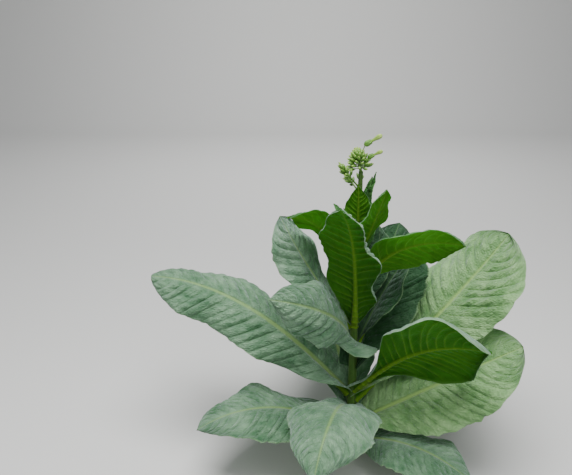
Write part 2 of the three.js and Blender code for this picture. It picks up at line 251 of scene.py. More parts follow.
leaves = [leaf_from_row(row) for row in LEAVES]
front_leaf = next(leaf for leaf in leaves if leaf["place"] == FRONT_LEAF)
print("leaves:", len(leaves), "longest:", max(leaf["length"] for leaf in leaves))

# %% [markdown]
# ### From a row to a surface
# The midrib is a curve that starts in the stem, rises, and sags more toward its tip. The blade
# hangs on it to both sides: `u` runs along the midrib from 0 to 1 and `v` across it from -1 to 1.
# Two angles bend the blade across, a fold at the midrib and a curl toward the margin. Writing the
# surface as a rule lets the coarse solid and this fine mesh share one shape.

# %% The midrib's line
SPINE_STEPS = 240
SINK = 0.0015
ROLL_SPAN = 0.12


def spine(leaf):
    """Points, left-hand directions and upper normals along a leaf's midrib."""
    u = np.linspace(0, 1, SPINE_STEPS + 1)
    e = np.radians(leaf["rise"] - leaf["sag"] * u ** leaf["late"])
    a = np.radians(leaf["azimuth"] + leaf["sweep"] * u ** leaf["bend"])
    along = np.stack([np.cos(e) * np.cos(a), np.cos(e) * np.sin(a), np.sin(e)], -1)
    out = stem_radius(leaf["height"]) - SINK
    foot = stem_centre(leaf["height"]) + out * np.array([math.cos(a[0]), math.sin(a[0]), 0])
    steps = (along[1:] + along[:-1]) / 2 * leaf["length"] / SPINE_STEPS
    points = np.vstack([foot, foot + np.cumsum(steps, axis=0)])
    level = np.stack([-np.sin(a), np.cos(a), np.zeros_like(a)], -1)
    upright = np.cross(along, level)
    roll = (np.radians(leaf["roll"]) * (1 - np.exp(-((u / ROLL_SPAN) ** 1.5))))[:, None]
    left = level * np.cos(roll) + upright * np.sin(roll)
    up = upright * np.cos(roll) - level * np.sin(roll)
    return points, left, up


print("tip of the front leaf:", np.round(spine(front_leaf)[0][-1], 3))

# %% The blade's width
RIPPLE_SPAN = 0.2
SIDE_SHIFT = 1.3
LEAST_HALF = 0.0022
LONG_WING = 0.05
WING_SPAN = 0.09
EAR_PLACE = 0.05
EAR_SPAN = 0.13


def swing(leaf, u, side):
    """The swing of a margin along the leaf, from -1 to 1."""
    turn = 2 * np.pi * leaf["waves"] * u + leaf["phase"] + side * SIDE_SHIFT
    return np.sin(turn) * np.minimum(1, u / RIPPLE_SPAN)


def half_width(leaf, u, side):
    """The blade's half width at u, on the side that each point lies on."""
    p, q = leaf["shape"]
    peak = p / (p + q)
    s = (u / peak) ** p * ((1 - u) / (1 - peak)) ** q
    half = leaf["width"] / 2
    wing = leaf["wing"] * np.exp(-((u / WING_SPAN) ** 2)) + LONG_WING * (1 - u) ** 2
    w = np.maximum(half * (s + wing * (1 - s)), LEAST_HALF)
    ear = np.where(side > 0, leaf["lobe"] * np.exp(-(((u - EAR_PLACE) / EAR_SPAN) ** 2)), 0)
    whole = w + half * ear * (1 - np.minimum(1, w / half))
    return whole * (1 + leaf["frill"] * swing(leaf, u, side))


print("front leaf's half width halfway along:", round(float(half_width(front_leaf, 0.5, 1)), 4))

# %% The blade's surface
CLASP_SPAN = 0.16
CURL_SPAN = 0.25
FLATTEST_CURL = 1e-4


def blade(leaf, tables, u, v, side):
    """Points of the blade's middle surface at u, v, and its upper normals there."""
    x = np.clip(u, 0, 1) * SPINE_STEPS
    i = np.minimum(x.astype(int), SPINE_STEPS - 1)
    f = (x - i)[:, None]
    point, left, up = (table[i] * (1 - f) + table[i + 1] * f for table in tables)
    reach = np.abs(v)
    w = half_width(leaf, u, side)
    clasp = np.exp(-((u / CLASP_SPAN) ** 1.3))
    fold = np.radians(leaf["fold"] + side * leaf["uneven"]) * (1 - clasp)
    fold = fold + np.radians(leaf["cup"]) * clasp
    curl = np.radians(leaf["curl"] + side * leaf["curl_uneven"]) * np.minimum(1, u / CURL_SPAN)
    curl = np.where(np.abs(curl) < FLATTEST_CURL, FLATTEST_CURL, curl)
    lean = fold - curl * reach
    across = w * (np.sin(fold) - np.sin(lean)) / curl
    lift = w * (np.cos(lean) - np.cos(fold)) / curl
    ripple = leaf["wave"] * w * reach ** 2 * swing(leaf, u, side)
    sideways = ((across - ripple * np.sin(lean)) * side)[:, None]
    upwards = (lift + ripple * np.cos(lean))[:, None]
    normal = left * (-np.sin(lean) * side)[:, None] + up * np.cos(lean)[:, None]
    return point + left * sideways + up * upwards, normal


both_sides = np.array([-1, 1])
margins, _ = blade(front_leaf, spine(front_leaf), np.full(2, 0.5), both_sides, both_sides)
print("front leaf's margins halfway along:", np.round(margins, 3).tolist())

# %% [markdown]
# ## Finishes
# A tobacco leaf is downy and matte. Its upper side is a greyish blue-green with pale veins, and
# light that comes through it makes the under side a clear bright green. An image could carry the
# veins, but it would blur close up, so the finish is made of nodes. It mixes two greens by a soft
# noise and by the height of small puckers, which gives the puckers' tops a painted highlight and
# their valleys painted shade. It darkens the edges of a fine net of puckers between the veins and
# the places where the blade lies hollow with painted shade, and brings in the pale vein and rim
# colours where the mesh marks them. The marks are values stored on the mesh's points: `vein`,
# `side_vein`, `hollow` and `rim`, and two more, `run` and `out`, that give the place on the leaf in
# metres, so the pattern bends with the leaf. A part of the surface is a Translucent shader, because
# light really passes through the blade.

# %% Small helpers for node trees
NOISE_ROUGHNESS = 0.55


def finish_tree(name):
    """A new material, its node tree and its Principled shader."""
    material = bpy.data.materials.new(name)
    material.use_nodes = True
    tree = material.node_tree
    return material, tree, tree.nodes["Principled BSDF"]


def link(tree, source, target):
    """Joins two sockets."""
    tree.links.new(source, target)


def noise(tree, scale, detail):
    """A noise on Object coordinates. Returns its value's socket."""
    place = tree.nodes.new("ShaderNodeTexCoord")
    node = tree.nodes.new("ShaderNodeTexNoise")
    node.inputs["Scale"].default_value = scale
    node.inputs["Detail"].default_value = detail
    node.inputs["Roughness"].default_value = NOISE_ROUGHNESS
    link(tree, place.outputs["Object"], node.inputs["Vector"])
    return node.outputs["Fac"]


def spread(tree, value, low, high):
    """Maps a value's range to 0 to 1, held inside it."""
    node = tree.nodes.new("ShaderNodeMapRange")
    link(tree, value, node.inputs["Value"])
    node.inputs["From Min"].default_value = low
    node.inputs["From Max"].default_value = high
    return node.outputs["Result"]


def stir(tree, amount, first, second):
    """Mixes two colours, each a socket or plain numbers, by a socket."""
    node = tree.nodes.new("ShaderNodeMix")
    node.data_type = "RGBA"
    for number, key in ((first, "A"), (second, "B")):
        socket = [s for s in node.inputs if s.name == key and s.type == "RGBA"][0]
        if isinstance(number, tuple):
            socket.default_value = (*number, 1)
        else:
            link(tree, number, socket)
    link(tree, amount, [s for s in node.inputs if s.name == "Factor" and s.type == "VALUE"][0])
    return [s for s in node.outputs if s.type == "RGBA"][0]


def sums(tree, kind, first, second):
    """One sum on two values, each a socket or a number."""
    node = tree.nodes.new("ShaderNodeMath")
    node.operation = kind
    for value, socket in ((first, node.inputs[0]), (second, node.inputs[1])):
        if isinstance(value, (int, float)):
            socket.default_value = value
        else:
            link(tree, value, socket)
    return node.outputs[0]


def mark(tree, name):
    """A value stored on the mesh's points."""
    node = tree.nodes.new("ShaderNodeAttribute")
    node.attribute_type = "GEOMETRY"
    node.attribute_name = name
    return node.outputs["Fac"]


def bump(tree, height, strength, distance):
    """A bump from a height. Returns its normal's socket."""
    node = tree.nodes.new("ShaderNodeBump")
    node.inputs["Strength"].default_value = strength
    node.inputs["Distance"].default_value = distance
    link(tree, height, node.inputs["Height"])
    return node.outputs["Normal"]


def leaf_plane(tree):
    """The place on a leaf in metres, along the midrib and outward from it."""
    node = tree.nodes.new("ShaderNodeCombineXYZ")
    link(tree, mark(tree, "run"), node.inputs[0])
    link(tree, mark(tree, "out"), node.inputs[1])
    return node.outputs["Vector"]


def leaf_noise(tree, scale, detail):
    """A noise that lies in the leaf's own plane and bends with it."""
    node = tree.nodes.new("ShaderNodeTexNoise")
    node.inputs["Scale"].default_value = scale
    node.inputs["Detail"].default_value = detail
    link(tree, leaf_plane(tree), node.inputs["Vector"])
    return node.outputs["Fac"]


def net(tree, scale):
    """The distance to the nearest line of a net of small cells in the leaf's own plane."""
    node = tree.nodes.new("ShaderNodeTexVoronoi")
    node.feature = "DISTANCE_TO_EDGE"
    node.inputs["Scale"].default_value = scale
    link(tree, leaf_plane(tree), node.inputs["Vector"])
    return node.outputs["Distance"]


print("node helpers ready")

# %% How a leaf finish is put together
PATCH_SCALE = 13
PUCKER_SCALE = 46
NET_SCALE = 120
NET_LINE = 0.28
PATCH_SHARE = 0.55
NET_SHADE_SHARE = 0.22
VEIN_SHARE = 0.85
RIM_SHARE = 0.55
NET_HEIGHT = 0.4
LEAF_ROUGHNESS = 0.62
DOWN_ROUGHNESS = 0.45
DOWN_TINT = (0.85, 0.95, 1.0, 1)


def leaf_colour(tree, patches, puckers, cells, dark, light, vein, rim, side_veins, hollow_shade):
    """The colour of one side: tone patches and a painted highlight and shade on the puckers, then
    painted shade on the net's edges and where the blade lies hollow, then veins and rim.
    """
    patches = sums(tree, "MULTIPLY", patches, PATCH_SHARE)
    # The puckers' height mixes in: their tops get a painted highlight and their valleys painted
    # shade. The patches are the leaf's own tone.
    tone_and_pucker_light = sums(tree, "ADD", patches, sums(tree, "MULTIPLY", puckers, 1 - PATCH_SHARE))
    colour = stir(tree, tone_and_pucker_light, dark, light)
    # The net's cell edges are pulled toward the dark green: painted shade in its small creases.
    net_shade = sums(tree, "MULTIPLY", sums(tree, "SUBTRACT", 1.0, cells), NET_SHADE_SHARE)
    colour = stir(tree, net_shade, colour, dark)
    # Where the blade lies hollow beside the side veins it is darkened: painted shade.
    colour = stir(tree, sums(tree, "MULTIPLY", mark(tree, "hollow"), hollow_shade), colour, dark)
    colour = stir(tree, sums(tree, "MULTIPLY", mark(tree, "side_vein"), side_veins), colour, vein)
    colour = stir(tree, sums(tree, "MULTIPLY", mark(tree, "vein"), VEIN_SHARE), colour, vein)
    return stir(tree, sums(tree, "MULTIPLY", mark(tree, "rim"), RIM_SHARE), colour, rim)


def leaf_finish(name, dark, light, vein, rim, glow, down, through, side_veins, hollow_shade, pucker):
    """One side of a leaf.

    glow colours the light that passes through, and through is its share. down is the strength of
    the shine and the sheen. side_veins says how strongly the side veins show, hollows how strongly
    painted shade darkens the blade where it lies hollow, and pucker is the bump's height.
    """
    material, tree, shader = finish_tree(name)
    patches = spread(tree, noise(tree, PATCH_SCALE, 4), 0.38, 0.62)
    puckers = spread(tree, leaf_noise(tree, PUCKER_SCALE, 3), 0.34, 0.66)
    cells = spread(tree, net(tree, NET_SCALE), 0.0, NET_LINE)
    colour = leaf_colour(tree, patches, puckers, cells, dark, light, vein, rim, side_veins, hollow_shade)
    link(tree, colour, shader.inputs["Base Color"])
    shader.inputs["Roughness"].default_value = LEAF_ROUGHNESS
    shader.inputs["Specular IOR Level"].default_value = down
    shader.inputs["Sheen Weight"].default_value = down
    shader.inputs["Sheen Roughness"].default_value = DOWN_ROUGHNESS
    shader.inputs["Sheen Tint"].default_value = DOWN_TINT
    height = sums(tree, "ADD", sums(tree, "MULTIPLY", cells, NET_HEIGHT), puckers)
    height = sums(tree, "MULTIPLY", height, sums(tree, "SUBTRACT", 1.0, mark(tree, "vein")))
    normal = bump(tree, height, 1.0, pucker)
    link(tree, normal, shader.inputs["Normal"])
    lit = tree.nodes.new("ShaderNodeBsdfTranslucent")
    link(tree, stir(tree, mark(tree, "vein"), glow, vein), lit.inputs["Color"])
    link(tree, normal, lit.inputs["Normal"])
    both = tree.nodes.new("ShaderNodeMixShader")
    both.inputs[0].default_value = through
    link(tree, shader.outputs["BSDF"], both.inputs[1])
    link(tree, lit.outputs["BSDF"], both.inputs[2])
    link(tree, both.outputs["Shader"], tree.nodes["Material Output"].inputs["Surface"])
    return material


print("finish builder ready")

# %% The leaf finishes
PALE_VEIN = (0.22, 0.36, 0.10)
PALE_RIM = (0.26, 0.40, 0.20)
UNDER_RIM = (0.18, 0.33, 0.08)

upper_sides = {
    "young": leaf_finish(
        "leaf_upper_young", dark=(0.035, 0.135, 0.025), light=(0.090, 0.250, 0.065),
        vein=(0.20, 0.38, 0.09), rim=PALE_RIM, glow=(0.14, 0.46, 0.02), down=0.20, through=0.34,
        side_veins=0.25, hollow_shade=0.3, pucker=0.0024,
    ),
    # The inner finish is the full one made darker: painted shade on the leaves deep inside the
    # plant.
    "inner": leaf_finish(
        "leaf_upper_inner_painted_shade", dark=(0.015, 0.053, 0.021), light=(0.054, 0.118, 0.058),
        vein=(0.10, 0.21, 0.07), rim=PALE_RIM, glow=(0.06, 0.26, 0.01), down=0.15, through=0.25,
        side_veins=0.10, hollow_shade=0.6, pucker=0.0032,
    ),
    "full": leaf_finish(
        "leaf_upper_full", dark=(0.046, 0.130, 0.061), light=(0.238, 0.388, 0.246),
        vein=PALE_VEIN, rim=PALE_RIM, glow=(0.12, 0.42, 0.02), down=0.35, through=0.25,
        side_veins=0.08, hollow_shade=0.5, pucker=0.0034,
    ),
    # The silver finish is the full one made paler and brighter: painted light on two leaves that
    # lie in shade.
    "painted_light": leaf_finish(
        "leaf_upper_painted_light", dark=(0.060, 0.160, 0.080), light=(0.310, 0.475, 0.325),
        vein=(0.30, 0.46, 0.16), rim=PALE_RIM, glow=(0.12, 0.42, 0.02), down=0.40, through=0.25,
        side_veins=0.08, hollow_shade=0.5, pucker=0.0034,
    ),
    "old": leaf_finish(
        "leaf_upper_old", dark=(0.090, 0.222, 0.064), light=(0.325, 0.525, 0.235),
        vein=(0.31, 0.50, 0.13), rim=PALE_RIM, glow=(0.20, 0.50, 0.03), down=0.35, through=0.28,
        side_veins=0.15, hollow_shade=0.6, pucker=0.0037,
    ),
}
under_sides = {
    "young": leaf_finish(
        "leaf_under_young", dark=(0.055, 0.182, 0.012), light=(0.098, 0.262, 0.028),
        vein=(0.22, 0.40, 0.04), rim=UNDER_RIM, glow=(0.32, 0.82, 0.014), down=0.08, through=0.48,
        side_veins=0.6, hollow_shade=0.15, pucker=0.0010,
    ),
    "full": leaf_finish(
        "leaf_under_full", dark=(0.022, 0.118, 0.003), light=(0.046, 0.175, 0.009),
        vein=(0.19, 0.36, 0.03), rim=(0.16, 0.30, 0.08), glow=(0.19, 0.62, 0.008), down=0.12,
        through=0.42, side_veins=0.75, hollow_shade=0.2, pucker=0.0014,
    ),
}
for age in ("inner", "painted_light", "old"):
    under_sides[age] = under_sides["full"]
print("leaf finishes:", [m.name for m in (*upper_sides.values(), *under_sides.values())])

# %% [markdown]
# ## Leaves
# On the real plant a thick pale midrib runs down the leaf, hollow above and round below. Side
# veins leave it at a wide angle and arch forward, and the blade swells up between them, which
# gives the leaf its quilted look. The margin ripples and rolls down a little.
#
# A sculpted sheet could show this too, but a grid is easier to keep true to the solid. A flat grid
# is added, its rows are laid along the side veins and its first columns along the midrib's edges,
# and each point is then moved to its place on the blade. A Solidify modifier gives the sheet its
# thickness, and its weights make the ribs stand out underneath.

# %% How the grid is spread
VEINS_BY_LENGTH = ((0.42, 20), (0.2, 14), (0.12, 10), (0.0, 8))
ROWS_PER_VEIN = np.array([0, 0.05, 0.16, 0.36, 0.60, 0.82, 0.95])
MIDRIB_COLUMNS = 3
BLADE_COLUMNS = np.array([
    0.018, 0.05, 0.10, 0.155, 0.21, 0.265, 0.32, 0.375, 0.43, 0.485, 0.54,
    0.595, 0.65, 0.705, 0.76, 0.81, 0.86, 0.90, 0.935, 0.965, 0.985, 1.0,
])


def veins_of(leaf):
    """How many side veins a leaf has on each side."""
    return next(count for length, count in VEINS_BY_LENGTH if leaf["length"] > length)


def rows_of(veins):
    """Where each row of the grid crosses the midrib, counted in veins."""
    return np.append(np.add.outer(np.arange(veins), ROWS_PER_VEIN).ravel(), veins)


print("rows of each size of leaf:", [len(rows_of(count)) for _, count in VEINS_BY_LENGTH],
      "columns:", 2 * (MIDRIB_COLUMNS + len(BLADE_COLUMNS)) + 1)

# %% Add the flat grid


def flat_grid(name, rows, columns):
    """A flat grid, with the row and column number of each of its points."""
    bpy.ops.object.select_all(action="DESELECT")
    bpy.ops.mesh.primitive_grid_add(x_subdivisions=columns, y_subdivisions=rows, size=2)
    sheet = bpy.context.object
    sheet.name = name
    sheet.data.name = name
    flat = np.empty(len(sheet.data.vertices) * 3)
    sheet.data.vertices.foreach_get("co", flat)
    flat = flat.reshape(-1, 3)
    column = np.rint((flat[:, 0] + 1) / 2 * columns).astype(int)
    row = np.rint((flat[:, 1] + 1) / 2 * rows).astype(int)
    return sheet, row, column


print("grid helper ready")

# %% The midrib's size
USUAL_LENGTH = 0.5
MIDRIB_WIDE = 0.0062
MIDRIB_NARROW = 0.0007
MIDRIB_DEEP = 0.0080
MIDRIB_SHALLOW = 0.0006


def midrib_half(leaf, u):
    """Half the width of the midrib."""
    size = (leaf["length"] / USUAL_LENGTH) ** 0.8
    return MIDRIB_WIDE * size * (1 - u) ** 0.75 + MIDRIB_NARROW


def midrib_depth(leaf, u):
    """How far the midrib stands out below the blade."""
    size = (leaf["length"] / USUAL_LENGTH) ** 0.8
    return MIDRIB_DEEP * size * (1 - u) ** 1.2 + MIDRIB_SHALLOW


print("front leaf's midrib at its foot, half width and depth:",
      round(midrib_half(front_leaf, 0), 4), round(midrib_depth(front_leaf, 0), 4))

# %% Where each grid point lies
VEIN_SLANT = 0.75
SLANT_START = 0.06
VEIN_ARCH = 1.3
VEIN_WANDER = 0.22
WANDER_START = 0.3
RIB_MOST = 0.8


def grid_place(leaf, row, column, veins, rng):
    """Each grid point's place on the leaf.

    count is its row counted in veins, u and reach are its place on the blade, outer runs from 0 at
    the midrib's edge to 1 at the margin, and number is its column counted from the middle.
    """
    middle = MIDRIB_COLUMNS + len(BLADE_COLUMNS)
    steps = np.concatenate([np.zeros(MIDRIB_COLUMNS + 1), BLADE_COLUMNS])
    number = np.abs(column - middle)
    side = np.where(column > middle, -1.0, 1.0)
    count = rows_of(veins)[row]
    s = count / veins
    w = half_width(leaf, s, side)
    rib = np.minimum(midrib_half(leaf, s), RIB_MOST * w) / w
    inner = rib * np.minimum(number, MIDRIB_COLUMNS) / MIDRIB_COLUMNS
    reach = np.where(number <= MIDRIB_COLUMNS, inner, rib + (1 - rib) * steps[number])
    outer = np.clip((reach - rib) / (1 - rib), 0, 1)
    slant = VEIN_SLANT * w / leaf["length"] * (1 - np.exp(-s / SLANT_START))
    shifts = rng.uniform(-VEIN_WANDER, VEIN_WANDER, (2, veins + 1))
    shifts[:, [0, -1]] = 0
    which = (side > 0).astype(int)
    k = np.minimum(count.astype(int), veins - 1)
    part = count - k
    shift = (shifts[which, k] * (1 - part) + shifts[which, k + 1] * part) / veins
    wander = shift * np.minimum(1, outer / WANDER_START)
    u = np.clip(s + slant * outer ** VEIN_ARCH + wander, 0, 1)
    return count, u, reach, outer, side, number


print("point placer ready")

# %% The swellings of the blade
QUILT = 0.22
QUILT_AMOUNTS = (0.5, 1.5)
QUILT_RATES = (2.5, 5.5)
QUILT_START = 0.14
CROSS_QUILT = 0.5
CRUMPLE = 0.0016
CRUMPLE_SIZE = 0.02
CRUMPLES_PER_VEIN = 1.9
SWAY = 0.0050
SWAYS_ALONG = 5
SWAYS_ACROSS = 2.2
MARGIN_SWAY = 0.0045
MARGIN_SWAYS = 10


def patchwork(rng, x, y):
    """A smooth uneven field with one random height per unit square, from -1 to 1."""
    x, y = x - x.min(), y - y.min()
    heights = rng.uniform(-1, 1, (int(x.max()) + 2, int(y.max()) + 2))
    i, j = x.astype(int), y.astype(int)
    a, b = x - i, y - j
    a, b = a * a * (3 - 2 * a), b * b * (3 - 2 * b)
    near = heights[i, j] * (1 - b) + heights[i, j + 1] * b
    far = heights[i + 1, j] * (1 - b) + heights[i + 1, j + 1] * b
    return near * (1 - a) + far * a


def relief(leaf, count, outer, side, veins, rng):
    """How far the blade swells up or down at each point, and where it lies hollow, which the finish
    darkens with painted shade.
    """
    s = count / veins
    w = half_width(leaf, s, side)
    size = leaf["length"] / USUAL_LENGTH
    full = np.minimum(1, w / (leaf["width"] / 2) * 1.3)
    which = (side > 0).astype(int)
    k = np.minimum(count.astype(int), veins - 1)
    part = count - k
    amount = rng.uniform(*QUILT_AMOUNTS, (2, veins))[which, k]
    start = rng.uniform(0, 1, (2, veins))[which, k]
    rate = rng.uniform(*QUILT_RATES, (2, veins))[which, k]
    arch = np.sin(np.pi * part) ** 0.8
    swell = arch * (1 - np.exp(-((outer / QUILT_START) ** 1.2))) * (1 - 0.7 * outer ** 6)
    cells = 0.5 + 0.5 * np.cos(2 * np.pi * (outer * rate + start))
    quilt = QUILT * leaf["length"] / veins
    lift = quilt * full * amount * swell * (1 - CROSS_QUILT * cells)
    crumple = CRUMPLE * math.sqrt(size) * full * np.minimum(1, outer * 5) * (1 - 0.8 * outer ** 6)
    across = outer * side
    lift += crumple * patchwork(rng, count * CRUMPLES_PER_VEIN, across * w / CRUMPLE_SIZE)
    lift += SWAY * size * patchwork(rng, s * SWAYS_ALONG, across * SWAYS_ACROSS) * outer
    lift += MARGIN_SWAY * size * patchwork(rng, s * MARGIN_SWAYS, side) * outer ** 3 * full
    return lift, (1 - arch) ** 1.5 * np.minimum(1, outer / 0.1) * (1 - 0.5 * outer)


print("relief ready")

# %% Points, marks and thickness of a leaf
THIN = 0.0009
SIDE_VEIN_DEEP = 0.0020
GROOVE = 0.35
MARGIN_NOTCH = 0.03
NOTCHES_PER_VEIN = 2.3
HEM = 0.0020
HEMS = {6: 0.012, 11: 0.005, 4: 0.003}
HEM_START = 0.9


def shape_leaf(leaf, row, column, veins, rng):
    """Points, marks and thickness for the grid's points."""
    count, u, reach, outer, side, number = grid_place(leaf, row, column, veins, rng)
    s = count / veins
    w = half_width(leaf, s, side)
    notch = MARGIN_NOTCH * patchwork(rng, count * NOTCHES_PER_VEIN, side) * outer ** 8
    point, normal = blade(leaf, spine(leaf), u, reach * side * (1 + notch), side)
    lift, hollow = relief(leaf, count, outer, side, veins, rng)
    from_middle = np.minimum(number / MIDRIB_COLUMNS, 1)
    lift -= GROOVE * midrib_half(leaf, s) * (1 - from_middle ** 2) * (1 - s)
    hem = HEMS.get(leaf["place"], HEM) * np.minimum(1, (1 - s) * 4)
    lift -= hem * np.clip((outer - HEM_START) / (1 - HEM_START), 0, 1) ** 2
    part = count % 1
    on_vein = np.interp(np.minimum(part, 1 - part), [0, 0.04, 0.12], [1, 0.5, 0])
    fade = (1 - outer) ** 0.6 * np.minimum(1, (1 - s) * 3)
    on_rib = np.interp(number, [0, MIDRIB_COLUMNS - 0.5, MIDRIB_COLUMNS + 1.2], [1, 1, 0])
    round_rib = np.sqrt(np.clip(1 - (number / (MIDRIB_COLUMNS + 0.4)) ** 2, 0, 1))
    marks = dict(
        vein=on_rib * (1 - 0.4 * s), side_vein=on_vein * fade, hollow=hollow,
        rim=np.interp(outer, [0.965, 1.0], [0, 1]), run=s * leaf["length"], out=reach * side * w,
    )
    thick = THIN + midrib_depth(leaf, s) * round_rib
    side_vein_deep = SIDE_VEIN_DEEP * leaf["length"] / USUAL_LENGTH
    thick += side_vein_deep * on_vein * (1 - outer) ** 0.8 * (1 - s) ** 0.5
    return point + normal * lift[:, None], marks, thick


print("hems wider than usual:", HEMS)

# %% Build one leaf
RIM_ANGLE = 60
FIRST_SEED = 100


def store(mesh, name, values):
    """Keeps a value on each point of a mesh."""
    layer = mesh.attributes.new(name, "FLOAT", "POINT")
    layer.data.foreach_set("value", values.astype(np.float32))


def make_leaf(name, leaf, age):
    """A leaf: a shaped grid, thickened downward."""
    rng = np.random.default_rng(FIRST_SEED + leaf["place"])
    veins = veins_of(leaf)
    rows = veins * len(ROWS_PER_VEIN)
    columns = 2 * (MIDRIB_COLUMNS + len(BLADE_COLUMNS))
    sheet, row, column = flat_grid(name, rows, columns)
    points, marks, thick = shape_leaf(leaf, row, column, veins, rng)
    mesh = sheet.data
    mesh.vertices.foreach_set("co", points.ravel())
    for key, values in marks.items():
        store(mesh, key, values)
    mesh.materials.append(upper_sides[age])
    mesh.materials.append(under_sides[age])
    most = float(thick.max())
    weights = sheet.vertex_groups.new(name="thickness")
    for k, share in enumerate(thick / most):
        weights.add([k], float(share), "REPLACE")
    shell = sheet.modifiers.new("thickness", "SOLIDIFY")
    shell.thickness = most
    shell.offset = -1
    shell.vertex_group = weights.name
    shell.material_offset = 1
    bpy.ops.object.modifier_apply(modifier=shell.name)
    sheet.vertex_groups.clear()
    bpy.ops.object.shade_smooth_by_angle(angle=math.radians(RIM_ANGLE))
    return sheet


print("leaf builder ready")

# %% Build all the leaves
OLD_PLACES = (1, 4)
# The leaves at these places take the paler copy of the full finish, with painted light.
LIGHT_PAINTED_PLACES = (6, 10)
# The leaves at these places take the darker copy of the full finish, with painted shade.
SHADE_PAINTED_PLACES = (7, 9, 12, 15)
FIRST_YOUNG = 13


def age_of(leaf):
    """Which finishes a leaf takes, by its place on the stem; some places take a darker copy with
    painted shade, and two take a paler copy with painted light.
    """
    if leaf["place"] in OLD_PLACES:
        return "old"
    if leaf["place"] in LIGHT_PAINTED_PLACES:
        return "painted_light"
    if leaf["place"] in SHADE_PAINTED_PLACES:
        return "inner"
    return "full" if leaf["place"] < FIRST_YOUNG else "young"


leaf_pieces = []
for number, leaf in enumerate(leaves, start=1):
    name = f"leaf_{number:02d}"
    piece = make_leaf(f"{name}_blade", leaf, age_of(leaf))
    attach(piece, "root")
    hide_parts(name)
    leaf_pieces.append(piece)
print("leaves made:", len(leaf_pieces), "faces:", sum(len(p.data.polygons) for p in leaf_pieces))

# %% [markdown]
# ## Stem
# The stem is soft and green, thickest at its flared foot, with low ridges that run down from each
# leaf's foot and a small swelling under each leaf. A curve with a round bevel would give a plain
# stem in one step, but no ridges that start at a leaf. So a disc is extruded upward ring by ring,
# as by hand, and the rings are then moved onto the stem's centre line and given their ridges.

# %% A ring-by-ring body


def stacked_rings(name, heights, sides):
    """A closed upright body of radius 1, one ring of points at each height."""
    bpy.ops.object.select_all(action="DESELECT")
    bpy.ops.mesh.primitive_circle_add(vertices=sides, radius=1, fill_type="NGON")
    body = bpy.context.object
    body.name = name
    body.data.name = name
    bpy.ops.object.mode_set(mode="EDIT")
    bpy.ops.mesh.select_all(action="SELECT")
    bpy.ops.transform.translate(value=(0, 0, heights[0]))
    for below, above in zip(heights, heights[1:]):
        bpy.ops.mesh.extrude_region_move(TRANSFORM_OT_translate={"value": (0, 0, above - below)})
    bpy.ops.mesh.select_all(action="SELECT")
    bpy.ops.mesh.normals_make_consistent(inside=False)
    bpy.ops.object.mode_set(mode="OBJECT")
    return body


def points_of(body):
    """A mesh's points as rows of numbers."""
    points = np.empty(len(body.data.vertices) * 3)
    body.data.vertices.foreach_get("co", points)
    return points.reshape(-1, 3)


print("ring helper ready")

# %% The stem's finish
STREAK_SCALE = 34
SPECK_SCALE = 420
# Both greens are darker than the stem's own pale green: painted shade over the whole stem, for the
# shade that the leaves cast on it.
STEM_SHADED_DARK = (0.028, 0.090, 0.007)
STEM_SHADED_PALE = (0.056, 0.142, 0.014)
RIDGE_COLOUR = (0.15, 0.28, 0.05)
SPECK_COLOUR = (0.30, 0.42, 0.12)
RIDGE_SHARE = 0.35
SPECK_SHARE = 0.07

stem_finish, tree, shader = finish_tree("stem_downy_green_painted_shade")
streaks = spread(tree, noise(tree, STREAK_SCALE, 4), 0.35, 0.65)
specks = spread(tree, noise(tree, SPECK_SCALE, 2), 0.35, 0.7)
green = stir(tree, streaks, STEM_SHADED_DARK, STEM_SHADED_PALE)
green = stir(tree, sums(tree, "MULTIPLY", mark(tree, "ridge"), RIDGE_SHARE), green, RIDGE_COLOUR)
green = stir(tree, sums(tree, "MULTIPLY", specks, SPECK_SHARE), green, SPECK_COLOUR)
link(tree, green, shader.inputs["Base Color"])
shader.inputs["Roughness"].default_value = 0.6
shader.inputs["Sheen Weight"].default_value = 0.12
shader.inputs["Sheen Roughness"].default_value = 0.4
shader.inputs["Sheen Tint"].default_value = (0.95, 1.0, 0.75, 1)
link(tree, bump(tree, specks, 0.5, 0.0006), shader.inputs["Normal"])
print("finish:", stem_finish.name)

# %% Build the stem
STEM_SIDES = 48
STEM_RINGS = 150
RING_CROWDING = 1.15
RIDGE = 0.035
RIDGE_RUN = 0.09
RIDGE_ASIDE = 0.55
RIDGE_SPAN = 0.16
LEAF_SWELL = 0.0022
SWELL_BELOW = 0.004
SWELL_HEIGHT = 0.010
SWELL_SPAN = 0.75
FLUTES = 7
FLUTE_DEPTH = 0.012
FLUTE_TWIST = 9
FOOT_ANGLE = 50


